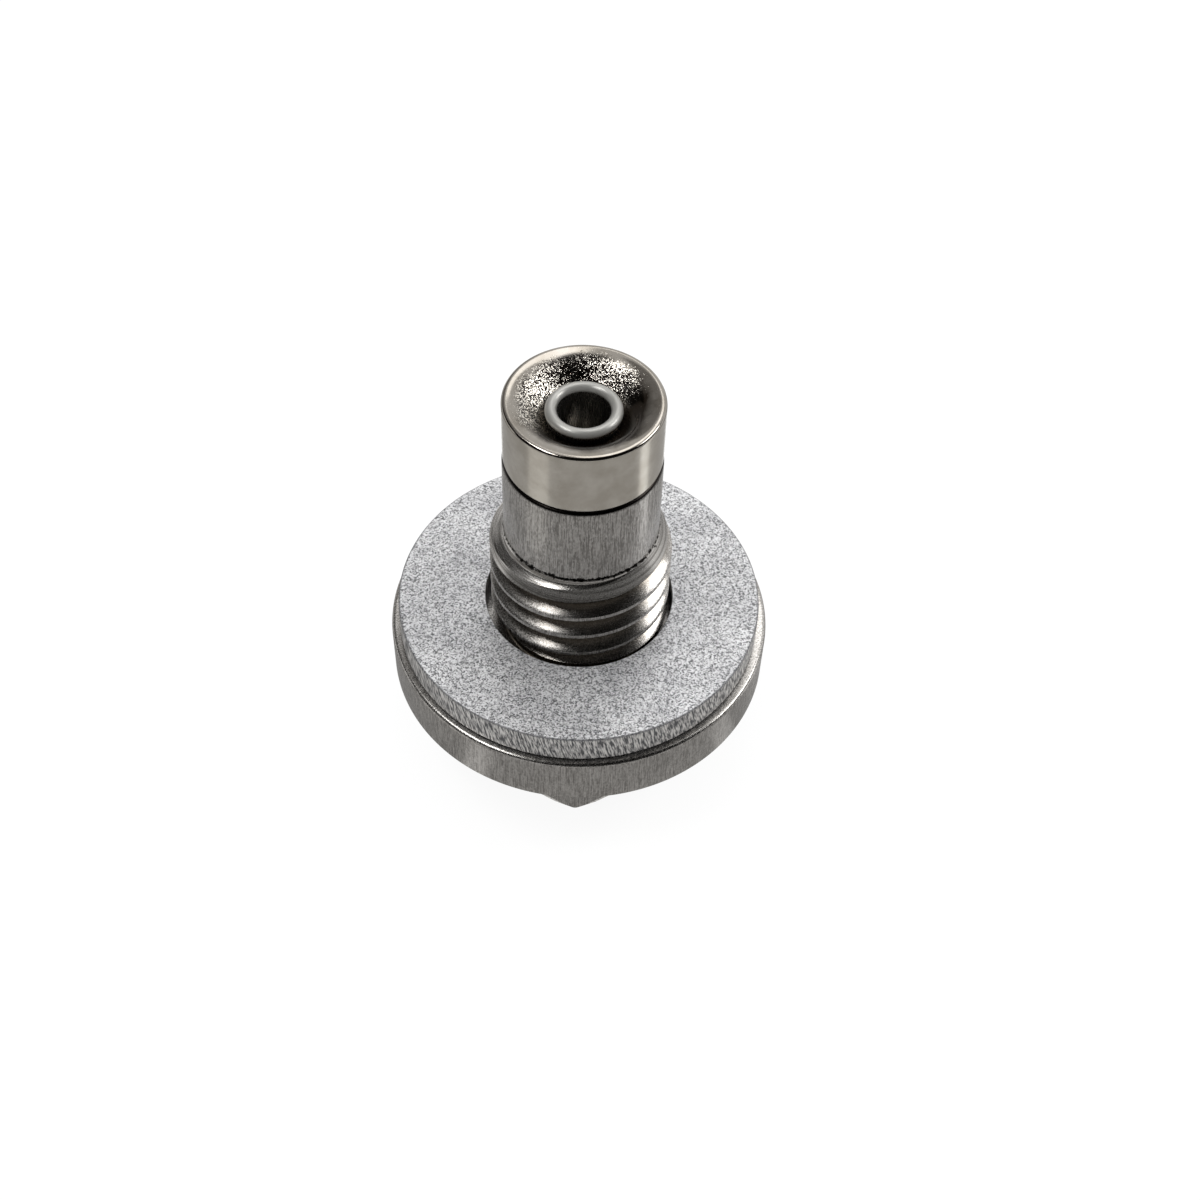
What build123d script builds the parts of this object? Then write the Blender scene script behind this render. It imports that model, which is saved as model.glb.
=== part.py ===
"""Magnetic oil drain plug, M12 x 1.75, standing on its hex head with the magnet up.

Three pieces: the turned plug, a crush washer lying on its flange and a ring magnet held
on the nose by the plug's own hollow rivet tail.
Millimetres, Z up, origin at the centre of the head's end face.
"""

import os
from math import cos, radians, sin, sqrt, tan

from build123d import *

# Hex head, 17 mm spanner, with one corner to the front
HEX_ACROSS_FLATS = 17.0
HEX_HEIGHT = 6.2
HEX_CHAMFER_RADIUS = 9.1
HEX_CHAMFER_ANGLE = 30.0
HEX_CUT_MARGIN = 0.1
HEX_TURN = 30.0

# Round flange above the head
FLANGE_RADIUS = 12.7
FLANGE_THICKNESS = 3.6
FLANGE_EDGE = 0.27
FLANGE_TOP = HEX_HEIGHT + FLANGE_THICKNESS

# Thread M12 x 1.75, right hand, class 6g
PITCH = 1.75
THREAD_RADIUS = 5.93
THREAD_PITCH_RADIUS = 5.415
THREAD_ROOT_RADIUS = 5.036
THREAD_TOP = 17.5
FLANK_ANGLE = 30.0
CREST_HEIGHT_AT_FRONT = 14.43
FRONT_ANGLE = -90.0
GROOVE_START = FLANGE_TOP + 0.8
GROOVE_LOWER_TURNS = 3.5
GROOVE_OVERRUN = 0.07

# Relief groove between the flange and the thread
RELIEF_RADIUS = 4.9
RELIEF_WIDTH = 1.0
RELIEF_EXIT_ANGLE = 30.0
RELIEF_CORNER = 0.3

# Plain pilot nose, with the lead-in cone below it
NOSE_RADIUS = 5.0
NOSE_BASE = 18.9
NOSE_TOP = 25.0
NOSE_EDGE = 0.32

# Ring magnet with a dished face
MAGNET_RADIUS = 4.95
MAGNET_HEIGHT = 4.6
MAGNET_TOP = NOSE_TOP + MAGNET_HEIGHT
MAGNET_BORE = 2.1
MAGNET_EDGE = 0.3
MAGNET_RIM = 0.13
DISH_OUTER_RADIUS = 4.62
DISH_RIM_ANGLE = 8.0
DISH_CONE_ANGLE = 38.0
DISH_CURVE_WIDTH = 1.25

# Hollow rivet tail, flared over the dish
TAIL_RADIUS = 2.05
TAIL_HOLE = 1.5
TAIL_HOLE_BOTTOM = NOSE_TOP
DRILL_POINT_ANGLE = 118.0
LIP_OUTER_RADIUS = 2.37
LIP_MOUTH_RADIUS = 1.64
LIP_TOP = MAGNET_TOP - 0.52
LIP_SEAT_RADIUS = 2.28
MOUTH_TAPER_DEPTH = 0.45

# Crush washer, lying a little off centre as far as the thread lets it
WASHER_RADIUS = 12.05
WASHER_BORE = 6.25
WASHER_THICKNESS = 2.3
WASHER_EDGE = 0.15
WASHER_ROLL = 0.3
WASHER_SHIFT_X = -0.05
WASHER_SHIFT_Y = -0.25


def slope(width, angle):
    """Rise over a radial width at an angle from the horizontal."""
    return width * tan(radians(angle))


# The dish runs down from its rim by a curve whose slope grows to that of the cone
dish_curve_radius = DISH_CURVE_WIDTH / (sin(radians(DISH_CONE_ANGLE)) - sin(radians(DISH_RIM_ANGLE)))
dish_curve_drop = dish_curve_radius * (cos(radians(DISH_RIM_ANGLE)) - cos(radians(DISH_CONE_ANGLE)))
dish_cone_radius = DISH_OUTER_RADIUS - DISH_CURVE_WIDTH
dish_cone_top = MAGNET_TOP - dish_curve_drop
mid_angle = radians((DISH_RIM_ANGLE + DISH_CONE_ANGLE) / 2)
dish_mid_radius = DISH_OUTER_RADIUS - dish_curve_radius * (sin(mid_angle) - sin(radians(DISH_RIM_ANGLE)))
dish_mid_height = MAGNET_TOP - dish_curve_radius * (cos(radians(DISH_RIM_ANGLE)) - cos(mid_angle))


def dish_cone_height(radius):
    """Height of the dish's cone at a radius inside the curve."""
    return dish_cone_top - slope(dish_cone_radius - radius, DISH_CONE_ANGLE)


# The lip rises by a curve from its outer radius over its top to the mouth of the hole. The
# curve's middle is three quarters of the way to its two upper control points
lip_base = LIP_TOP - (LIP_OUTER_RADIUS - LIP_MOUTH_RADIUS) / 2
lip_control_height = lip_base + (LIP_TOP - lip_base) * 4 / 3

# The flange's upper edge is broken in two equal steps round the corner
flange_step = FLANGE_EDGE * (1 - cos(radians(45)))

# The thread groove has its true flanks. It starts in the relief and ends above the lead-in
# cone, so that neither end is blunt, and is made in two spans that meet end to end
groove_outer_radius = THREAD_RADIUS + GROOVE_OVERRUN
groove_half_root = PITCH / 4 - slope(THREAD_PITCH_RADIUS - THREAD_ROOT_RADIUS, FLANK_ANGLE)
groove_half_outer = PITCH / 4 + slope(groove_outer_radius - THREAD_PITCH_RADIUS, FLANK_ANGLE)
groove_front_height = CREST_HEIGHT_AT_FRONT - PITCH / 2
groove_start_angle = FRONT_ANGLE + 360 * (GROOVE_START - groove_front_height) / PITCH
groove_upper_turns = (NOSE_BASE + PITCH / 2 - GROOVE_START) / PITCH - GROOVE_LOWER_TURNS

# Profile of everything that is turned, from the axis out and up
relief_top = FLANGE_TOP + RELIEF_WIDTH
relief_exit = relief_top + slope(THREAD_RADIUS - RELIEF_RADIUS, RELIEF_EXIT_ANGLE)
drill_point_bottom = TAIL_HOLE_BOTTOM - TAIL_HOLE / tan(radians(DRILL_POINT_ANGLE / 2))

groove_spans = []
for first_turn, turns in ((0, GROOVE_LOWER_TURNS), (GROOVE_LOWER_TURNS, groove_upper_turns)):
    span_start = GROOVE_START + first_turn * PITCH
    with BuildPart() as groove_span:
        with BuildLine(Plane.XY.offset(span_start)) as groove_path:
            Helix(pitch=PITCH, height=turns * PITCH, radius=THREAD_PITCH_RADIUS)
        with BuildSketch(Plane.XZ):
            with BuildLine():
                Polyline(
                    (THREAD_ROOT_RADIUS, span_start - groove_half_root),
                    (groove_outer_radius, span_start - groove_half_outer),
                    (groove_outer_radius, span_start + groove_half_outer),
                    (THREAD_ROOT_RADIUS, span_start + groove_half_root),
                    close=True,
                )
            make_face()
        sweep(path=groove_path.wires()[0], is_frenet=True)
    groove_spans.append((groove_span.part, groove_start_angle + 360 * first_turn))

with BuildPart() as plug_body:
    # Head: a hex prism whose end is chamfered to a circle
    with BuildSketch(Plane.XY):
        RegularPolygon(radius=HEX_ACROSS_FLATS / 2, side_count=6, major_radius=False, rotation=HEX_TURN)
    extrude(amount=HEX_HEIGHT)
    hex_corner_radius = HEX_ACROSS_FLATS / sqrt(3) + HEX_CUT_MARGIN
    with BuildSketch(Plane.XZ):
        with BuildLine():
            Polyline(
                (0, 0),
                (HEX_CHAMFER_RADIUS, 0),
                (hex_corner_radius, slope(hex_corner_radius - HEX_CHAMFER_RADIUS, HEX_CHAMFER_ANGLE)),
                (hex_corner_radius, HEX_HEIGHT),
                (0, HEX_HEIGHT),
                close=True,
            )
        make_face()
    revolve(axis=Axis.Z, mode=Mode.INTERSECT)

    # Flange, relief, shank, nose and rivet tail, turned in one
    with BuildSketch(Plane.XZ):
        with BuildLine():
            Polyline(
                (0, drill_point_bottom),
                (0, HEX_HEIGHT),
                (FLANGE_RADIUS, HEX_HEIGHT),
                (FLANGE_RADIUS, FLANGE_TOP - FLANGE_EDGE),
                (FLANGE_RADIUS - flange_step, FLANGE_TOP - flange_step),
                (FLANGE_RADIUS - FLANGE_EDGE, FLANGE_TOP),
                (RELIEF_RADIUS + RELIEF_CORNER, FLANGE_TOP),
                (RELIEF_RADIUS, FLANGE_TOP + RELIEF_CORNER),
                (RELIEF_RADIUS, relief_top),
                (THREAD_RADIUS, relief_exit),
                (THREAD_RADIUS, THREAD_TOP),
                (NOSE_RADIUS, NOSE_BASE),
                (NOSE_RADIUS, NOSE_TOP - NOSE_EDGE),
                (NOSE_RADIUS - NOSE_EDGE, NOSE_TOP),
                (TAIL_RADIUS, NOSE_TOP),
                (TAIL_RADIUS, dish_cone_height(TAIL_RADIUS)),
                (LIP_SEAT_RADIUS, dish_cone_height(LIP_SEAT_RADIUS)),
                (LIP_OUTER_RADIUS, lip_base),
            )
            Bezier(
                (LIP_OUTER_RADIUS, lip_base),
                (LIP_OUTER_RADIUS, lip_control_height),
                (LIP_MOUTH_RADIUS, lip_control_height),
                (LIP_MOUTH_RADIUS, lip_base),
            )
            Polyline(
                (LIP_MOUTH_RADIUS, lip_base),
                (TAIL_HOLE, lip_base - MOUTH_TAPER_DEPTH),
                (TAIL_HOLE, TAIL_HOLE_BOTTOM),
                (0, drill_point_bottom),
            )
        make_face()
    revolve(axis=Axis.Z)

    # Thread: the V groove, right hand, running out through the lead-in cone
    for span, angle in groove_spans:
        add(span, rotation=(0, 0, angle), mode=Mode.SUBTRACT)

with BuildPart() as crush_washer:
    # Blanked ring: its bore is sharp, its outer edges are rolled over, the lower one more
    with BuildSketch(Plane((WASHER_SHIFT_X, WASHER_SHIFT_Y, FLANGE_TOP))):
        Circle(WASHER_RADIUS)
        Circle(WASHER_BORE, mode=Mode.SUBTRACT)
    extrude(amount=WASHER_THICKNESS)
    upper_edges = crush_washer.edges().filter_by(GeomType.CIRCLE).group_by(Axis.Z)[-1]
    chamfer(upper_edges.sort_by(SortBy.RADIUS)[-1], length=WASHER_EDGE)
    lower_edges = crush_washer.edges().filter_by(GeomType.CIRCLE).group_by(Axis.Z)[0]
    chamfer(lower_edges.sort_by(SortBy.RADIUS)[-1], length=WASHER_ROLL)

with BuildPart() as ring_magnet:
    # Ring whose face falls from a narrow flat rim into a cone round the rivet tail
    with BuildSketch(Plane.XZ):
        with BuildLine():
            Polyline(
                (MAGNET_BORE, dish_cone_height(MAGNET_BORE)),
                (MAGNET_BORE, NOSE_TOP),
                (MAGNET_RADIUS - MAGNET_EDGE, NOSE_TOP),
                (MAGNET_RADIUS, NOSE_TOP + MAGNET_EDGE),
                (MAGNET_RADIUS, MAGNET_TOP - MAGNET_RIM),
                (MAGNET_RADIUS - MAGNET_RIM, MAGNET_TOP),
                (DISH_OUTER_RADIUS, MAGNET_TOP),
            )
            ThreePointArc(
                (DISH_OUTER_RADIUS, MAGNET_TOP),
                (dish_mid_radius, dish_mid_height),
                (dish_cone_radius, dish_cone_top),
            )
            Line((dish_cone_radius, dish_cone_top), (MAGNET_BORE, dish_cone_height(MAGNET_BORE)))
        make_face()
    revolve(axis=Axis.Z)

os.makedirs("parts", exist_ok=True)

plug_body.part.label = "plug_body"
export_step(plug_body.part, "parts/plug_body.step")

crush_washer.part.label = "crush_washer"
export_step(crush_washer.part, "parts/crush_washer.step")

ring_magnet.part.label = "ring_magnet"
export_step(ring_magnet.part, "parts/ring_magnet.step")
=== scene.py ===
"""Magnetic oil drain plug, M12 x 1.75, standing on its hex head with the magnet up.

Sizes are in millimetres inside the classes and in metres in the scene.
"""

import logging
from collections.abc import Callable, Iterable, Sequence
from dataclasses import dataclass, field
from enum import Enum
from functools import partial
from math import atan2, cos, degrees, hypot, pi, radians, sin, tan
from typing import Any

import bmesh
import bpy
from bmesh.types import BMEdge, BMesh, BMVert
from mathutils import Matrix, Vector


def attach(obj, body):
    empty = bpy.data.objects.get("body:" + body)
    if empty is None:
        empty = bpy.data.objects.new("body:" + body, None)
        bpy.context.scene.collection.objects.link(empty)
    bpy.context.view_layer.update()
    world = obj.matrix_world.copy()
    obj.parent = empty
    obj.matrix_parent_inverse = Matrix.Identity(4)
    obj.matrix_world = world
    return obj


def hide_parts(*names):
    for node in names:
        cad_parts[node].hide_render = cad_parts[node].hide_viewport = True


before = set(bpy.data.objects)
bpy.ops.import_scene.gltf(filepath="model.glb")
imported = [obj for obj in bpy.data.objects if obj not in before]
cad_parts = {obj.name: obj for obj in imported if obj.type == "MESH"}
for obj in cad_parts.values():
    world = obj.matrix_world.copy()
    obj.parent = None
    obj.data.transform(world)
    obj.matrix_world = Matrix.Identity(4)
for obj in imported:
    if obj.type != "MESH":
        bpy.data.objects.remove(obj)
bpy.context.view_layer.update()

log = logging.getLogger("drain_plug")

MM = 0.001
AXIS = Vector((0.0, 0.0, 1.0))
CENTRE = Vector((0.0, 0.0, 0.0))

# Inner and outer radii of the two rings of card on the table, in metres
NEAR_RING = (0.0135, 0.0203)
FAR_RING = (0.0203, 0.16)

# Inputs of a range node that spread the usual or the whole run of noise over 0 to 1
USUAL_NOISE = {1: 0.35, 2: 0.65}
WHOLE_NOISE = {1: 0.3, 2: 0.7}

Measure = float | Callable[[float], float]
Source = bpy.types.Node | bpy.types.NodeSocket


class Piece(Enum):
    """The plug's physical pieces, by the names of their nodes."""

    BODY = "plug_body"
    WASHER = "crush_washer"
    MAGNET = "ring_magnet"


class Slot(Enum):
    """The record's material slots."""

    STEEL = "stainless_steel"
    ALUMINIUM = "washer_aluminium"
    NICKEL = "nickel_plate"


def linear(colour: str) -> tuple[float, float, float, float]:
    """Turns an sRGB hex value to linear light.

    Args:
        colour: Six hex digits after a hash.

    Returns:
        Red, green, blue and a full alpha.
    """
    channels = [int(colour[i : i + 2], 16) / 255 for i in (1, 3, 5)]
    red, green, blue = (c / 12.92 if c <= 0.04045 else ((c + 0.055) / 1.055) ** 2.4 for c in channels)
    return red, green, blue, 1.0


def add_node(
    tree: bpy.types.NodeTree,
    kind: str,
    settings: dict[str, Any] | None = None,
    inputs: dict[str | int, Any] | None = None,
) -> bpy.types.Node:
    """Adds a node, sets it up and links what feeds it.

    Args:
        tree: The node tree of a material or a world.
        kind: The node's type name, after the ShaderNode that they all begin with.
        settings: Values for the node's own properties.
        inputs: By the name or number of an input, a value, an output socket to link, or a node
            whose first output in use is linked.

    Returns:
        The new node.
    """
    node = tree.nodes.new(f"ShaderNode{kind}")
    for name, value in (settings or {}).items():
        setattr(node, name, value)
    for name, value in (inputs or {}).items():
        if isinstance(value, bpy.types.Node):
            value = next(socket for socket in value.outputs if socket.enabled)
        if isinstance(value, bpy.types.NodeSocket):
            tree.links.new(value, node.inputs[name])
        else:
            node.inputs[name].default_value = value
    return node


def new_material(name: str) -> tuple[bpy.types.Material, bpy.types.NodeTree]:
    """Makes an empty node material.

    Args:
        name: The finish's name.

    Returns:
        The material and its node tree.
    """
    material = bpy.data.materials.new(name)
    material.use_nodes = True
    material.node_tree.nodes.clear()
    return material, material.node_tree


def in_millimetres(tree: bpy.types.NodeTree, place: bpy.types.Node) -> bpy.types.Node:
    """The point in the plug's own space, in millimetres."""
    return add_node(
        tree, "VectorMath", {"operation": "SCALE"}, {0: place.outputs["Object"], "Scale": 1 / MM}
    )


def from_axis(tree: bpy.types.NodeTree, point: Source) -> bpy.types.Node:
    """The distance of a point from the plug's axis."""
    flat = add_node(tree, "VectorMath", {"operation": "MULTIPLY"}, {0: point, 1: (1, 1, 0)})
    return add_node(tree, "VectorMath", {"operation": "LENGTH"}, {0: flat})


def upright(tree: bpy.types.NodeTree, place: bpy.types.Node) -> bpy.types.Node:
    """How far the surface faces along the axis, from 0 on a wall to 1 on a flat face."""
    normal = add_node(tree, "SeparateXYZ", inputs={0: place.outputs["Normal"]})
    return add_node(tree, "Math", {"operation": "ABSOLUTE"}, {0: normal.outputs["Z"]})


def drawn_round(tree: bpy.types.NodeTree, amount: float) -> dict[str, Any]:
    """A surface's inputs for marks round the axis, which draw its highlights out along it."""
    return {
        "Anisotropic": amount,
        "Anisotropic Rotation": 0.25,
        "Tangent": add_node(tree, "Tangent", {"direction_type": "RADIAL", "axis": "Z"}),
    }


def grain(
    tree: bpy.types.NodeTree, point: Source, size: tuple[float, ...], detail: float = 2.0
) -> bpy.types.Node:
    """Noise whose grains have a real size.

    Args:
        tree: The material's node tree.
        point: Coordinates in millimetres.
        size: Width of a grain along each coordinate, in millimetres.
        detail: Octaves of finer noise inside a grain.

    Returns:
        A node that gives a factor about one half.
    """
    scaled = add_node(tree, "VectorMath", {"operation": "DIVIDE"}, {0: point, 1: size})
    return add_node(
        tree, "TexNoise",
        inputs={"Vector": scaled, "Scale": 1.0, "Detail": detail, "Roughness": 0.6},
    )


def flecks(tree: bpy.types.NodeTree, point: Source, size: tuple[float, ...]) -> bpy.types.Node:
    """Flecks of a real size, each with its own value.

    Args:
        tree: The material's node tree.
        point: Coordinates in millimetres.
        size: Width of a fleck along each coordinate, in millimetres.

    Returns:
        A node that gives a factor from 0 to 1, even over each fleck.
    """
    scaled = add_node(tree, "VectorMath", {"operation": "DIVIDE"}, {0: point, 1: size})
    cells = add_node(tree, "TexVoronoi", inputs={"Vector": scaled, "Scale": 1.0})
    return add_node(tree, "SeparateColor", inputs={0: cells.outputs["Color"]})


@dataclass(frozen=True)
class TurnedStainlessSteel:
    """Stainless bar turned on a lathe, satin, with fine marks round the axis.

    The marks draw each highlight out along the axis. The bottoms of the thread are painted a
    brownish oil colour that deepens to the roots, which is partly painted shade. Painted shade also
    lies in the joint under the magnet and in the groove at the nose's base, and it darkens the
    hole. The tail is paler and blunter.
    """

    name: str = "turned_stainless_steel"
    bright: str = "#cac7c3"
    dull: str = "#8a8783"
    nose_shades: tuple[float, float] = (0.43, 0.57)
    body_shades: tuple[float, float] = (0.38, 0.62)
    neck_height: float = 18.97
    neck_fade: float = 0.1
    cone_bottom: float = 17.3
    cone_fade: float = 0.2
    # Oil and painted shade: the thread's bottoms go brownish, darkest in the roots.
    film_and_shade: str = "#5c5243"
    film_and_shade_share: float = 0.85
    film_top: float = 17.7
    root_radius: float = 5.05
    crest_radius: float = 5.9
    # Painted shade: a dark line under the magnet's edge, and a ragged one in the groove at the nose's
    # base.
    painted_shade: str = "#262321"
    painted_shade_grain: float = 0.35
    painted_shade_spread: float = 0.9
    painted_shade_edge: tuple[float, float] = (-0.33, -0.38)
    joint_height: float = 24.72
    joint_fade: float = 0.14
    # Painted shade that darkens the hole and the tail below its lip.
    hole_shade: str = "#85827d"
    hole_shade_radius: float = 2.4
    hole_shade_bottom: float = 20.0
    tail: str = "#9a9995"
    tail_bottom: float = 28.66
    tail_fade: float = 0.12
    tail_metal: float = 0.62
    tail_bluntness: float = 0.1
    roughness: tuple[float, float] = (0.19, 0.33)
    anisotropy: float = 0.6
    streak_width: float = 0.05
    streak_length: float = 1.5
    streak_depth: float = 0.0022
    speck_size: float = 0.09
    speck_share: float = 0.15
    patch_size: float = 2.5
    mark_spacing: float = 0.09
    mark_depth: float = 0.0011

    def material(self) -> bpy.types.Material:
        """Builds the material."""
        material, tree = new_material(self.name)
        node = partial(add_node, tree)
        point = in_millimetres(tree, node("TexCoord"))
        radius = from_axis(tree, point)
        height = node("SeparateXYZ", inputs={0: point}).outputs["Z"]

        streaks = grain(tree, point, (self.streak_width, self.streak_width, self.streak_length), 3.0)
        patches = grain(tree, point, (self.patch_size,) * 3)
        turned = node("CombineXYZ", inputs={"X": radius, "Y": height, "Z": patches})
        marks = grain(tree, turned, (self.mark_spacing, self.mark_spacing, 1.0), 1.0)
        specks = flecks(tree, point, (self.speck_size, self.speck_size, 2 * self.speck_size))

        drawn = node("Mix", inputs={0: self.speck_share, 2: streaks, 3: specks})
        above_thread = node(
            "MapRange", inputs={0: height, 1: self.cone_bottom, 2: self.cone_bottom + self.cone_fade}
        )
        below_neck = node("Math", {"operation": "LESS_THAN"}, {0: height, 1: self.neck_height})
        on_cone = node("Math", {"operation": "MULTIPLY"}, {0: above_thread, 1: below_neck})
        worked = node("Mix", inputs={0: on_cone, 2: drawn, 3: marks})
        up_neck = {0: height, 1: self.neck_height - self.neck_fade, 2: self.neck_height}
        darkest, brightest = (
            node("MapRange", inputs={**up_neck, 3: below, 4: above})
            for below, above in zip(self.body_shades, self.nose_shades)
        )
        shade = node("MapRange", inputs={0: worked, 1: darkest, 2: brightest})

        # A brownish oil colour towards the roots, partly painted shade.
        in_thread = node(
            "MapRange",
            inputs={0: radius, 1: self.crest_radius, 2: self.root_radius, 4: self.film_and_shade_share},
        )
        below_cone = node("Math", {"operation": "LESS_THAN"}, {0: height, 1: self.film_top})
        filmed = node("Math", {"operation": "MULTIPLY"}, {0: in_thread, 1: below_cone})

        # Painted shade under the magnet's edge, and with a ragged edge in the groove at the nose's base.
        in_joint = node(
            "MapRange", inputs={0: height, 1: self.joint_height, 2: self.joint_height + self.joint_fade}
        )
        from_neck = node("Math", {"operation": "SUBTRACT"}, {0: height, 1: self.neck_height})
        off_neck = node("Math", {"operation": "ABSOLUTE"}, {0: from_neck})
        ragged = grain(tree, point, (self.painted_shade_grain,) * 3)
        broken = node(
            "Math", {"operation": "MULTIPLY_ADD"}, {0: ragged, 1: -self.painted_shade_spread, 2: off_neck}
        )
        in_neck = node("MapRange", inputs={0: broken, 1: self.painted_shade_edge[0], 2: self.painted_shade_edge[1]})
        darkened = node("Math", {"operation": "MAXIMUM"}, {0: in_joint, 1: in_neck})

        # Painted shade in the hole and on the tail below its lip.
        in_hole = node("Math", {"operation": "LESS_THAN"}, {0: radius, 1: self.hole_shade_radius})
        above_head = node("Math", {"operation": "GREATER_THAN"}, {0: height, 1: self.hole_shade_bottom})
        hole_shaded = node("Math", {"operation": "MULTIPLY"}, {0: in_hole, 1: above_head})
        on_tail = node(
            "MapRange", inputs={0: height, 1: self.tail_bottom, 2: self.tail_bottom + self.tail_fade}
        )

        colour = linear(self.dull)
        for share, coat in (
            (shade, self.bright),
            (filmed, self.film_and_shade),
            (darkened, self.painted_shade),
            (hole_shaded, self.hole_shade),
            (on_tail, self.tail),
        ):
            colour = node("Mix", {"data_type": "RGBA"}, {0: share, 6: colour, 7: linear(coat)})
        streaked = node(
            "MapRange",
            inputs={0: streaks, **WHOLE_NOISE, 3: self.roughness[0], 4: self.roughness[1]},
        )
        rough = node(
            "Math", {"operation": "MULTIPLY_ADD"}, {0: on_tail, 1: self.tail_bluntness, 2: streaked}
        )
        metal = node("MapRange", inputs={0: on_tail, 3: 1.0, 4: self.tail_metal})

        marked = node("Bump", inputs={"Height": marks, "Distance": self.mark_depth * MM, "Strength": 1.0})
        scratched = node(
            "Bump",
            inputs={
                "Height": streaks,
                "Distance": self.streak_depth * MM,
                "Strength": 1.0,
                "Normal": marked,
            },
        )
        surface = node(
            "BsdfPrincipled",
            inputs={
                "Base Color": colour,
                "Metallic": metal,
                "Roughness": rough,
                "Normal": scratched,
                **drawn_round(tree, self.anisotropy),
            },
        )
        node("OutputMaterial", inputs={"Surface": surface})
        return material


@dataclass(frozen=True)
class TumbledAluminium:
    """Soft aluminium, blanked and tumbled: matt and pale, pitted all over its faces.

    Its rim keeps the slanting tears of the blanking die. Its rounded edges are painted darker, which
    at the lower edge, over the flange, is painted shade. Each tilt is a range of how far the
    surface faces along the axis, from 0 on the rim to 1 on a face.
    """

    name: str = "tumbled_aluminium"
    pale: str = "#dcdcdd"
    shade: str = "#c6c6c8"
    pit: str = "#535355"
    rim: str = "#cbc9c6"
    face_tilt: tuple[float, float] = (0.35, 0.75)
    rim_end_tilt: tuple[float, float] = (0.25, 0.5)
    face_start_tilt: tuple[float, float] = (0.98, 0.85)
    # Share of the pit colour painted on the rounded edges; at the lower edge it is painted shade.
    edge_darkening: float = 0.65
    metal_share: float = 0.65
    roughness: float = 0.5
    pit_size: float = 0.085
    pit_share: float = 0.75
    pit_depth: float = 0.02
    patch_size: float = 3.5
    rim_radius: float = 11.95
    tear_spacing: float = 0.12
    tear_length: float = 0.8
    tear_slant: float = 0.22
    tear_range: tuple[float, float] = (0.42, 0.6)
    tear_depth: float = 0.03

    def material(self) -> bpy.types.Material:
        """Builds the material."""
        material, tree = new_material(self.name)
        node = partial(add_node, tree)
        place = node("TexCoord")
        point = in_millimetres(tree, place)
        parts = node("SeparateXYZ", inputs={0: point}).outputs
        facing = upright(tree, place)
        on_face, off_rim, before_face = (
            node("MapRange", inputs={0: facing, 1: first, 2: last})
            for first, last in (self.face_tilt, self.rim_end_tilt, self.face_start_tilt)
        )

        pits = flecks(tree, point, (self.pit_size,) * 3)
        patches = grain(tree, point, (self.patch_size,) * 3, 3.0)
        mottled = node("MapRange", inputs={0: patches, **USUAL_NOISE})
        pitted = node("MapRange", inputs={0: pits, 1: self.pit_share, 2: 0.0})
        face = linear(self.shade)
        for share, coat in ((mottled, self.pale), (pitted, self.pit)):
            face = node("Mix", {"data_type": "RGBA"}, {0: share, 6: face, 7: linear(coat)})

        angle = node("Math", {"operation": "ARCTAN2"}, {0: parts["Y"], 1: parts["X"]})
        along = node("Math", {"operation": "MULTIPLY"}, {0: angle, 1: self.rim_radius})
        slanted = node(
            "Math", {"operation": "MULTIPLY_ADD"}, {0: parts["Z"], 1: self.tear_slant, 2: along}
        )
        rim_place = node("CombineXYZ", inputs={"X": slanted, "Y": parts["Z"]})
        tears = grain(tree, rim_place, (self.tear_spacing, self.tear_length, 1.0))
        torn = node("MapRange", inputs={0: tears, 1: self.tear_range[0], 2: self.tear_range[1]})

        # Rounded edges painted darker; at the lower edge, over the flange, this is painted shade.
        on_edge = node("Math", {"operation": "MULTIPLY"}, {0: off_rim, 1: before_face})
        darkened = node("Math", {"operation": "MULTIPLY"}, {0: on_edge, 1: self.edge_darkening})
        colour = linear(self.pit)
        for share, coat in ((torn, linear(self.rim)), (on_face, face), (darkened, linear(self.pit))):
            colour = node("Mix", {"data_type": "RGBA"}, {0: share, 6: colour, 7: coat})

        pit_bump = node(
            "Bump", inputs={"Height": pits, "Distance": self.pit_depth * MM, "Strength": on_face}
        )
        tear_bump = node(
            "Bump",
            inputs={
                "Height": tears,
                "Distance": self.tear_depth * MM,
                "Strength": node("Math", {"operation": "SUBTRACT"}, {0: 1.0, 1: on_face}),
                "Normal": pit_bump,
            },
        )
        surface = node(
            "BsdfPrincipled",
            inputs={
                "Base Color": colour,
                "Metallic": self.metal_share,
                "Roughness": self.roughness,
                "Normal": tear_bump,
            },
        )
        node("OutputMaterial", inputs={"Surface": surface})
        return material


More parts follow.
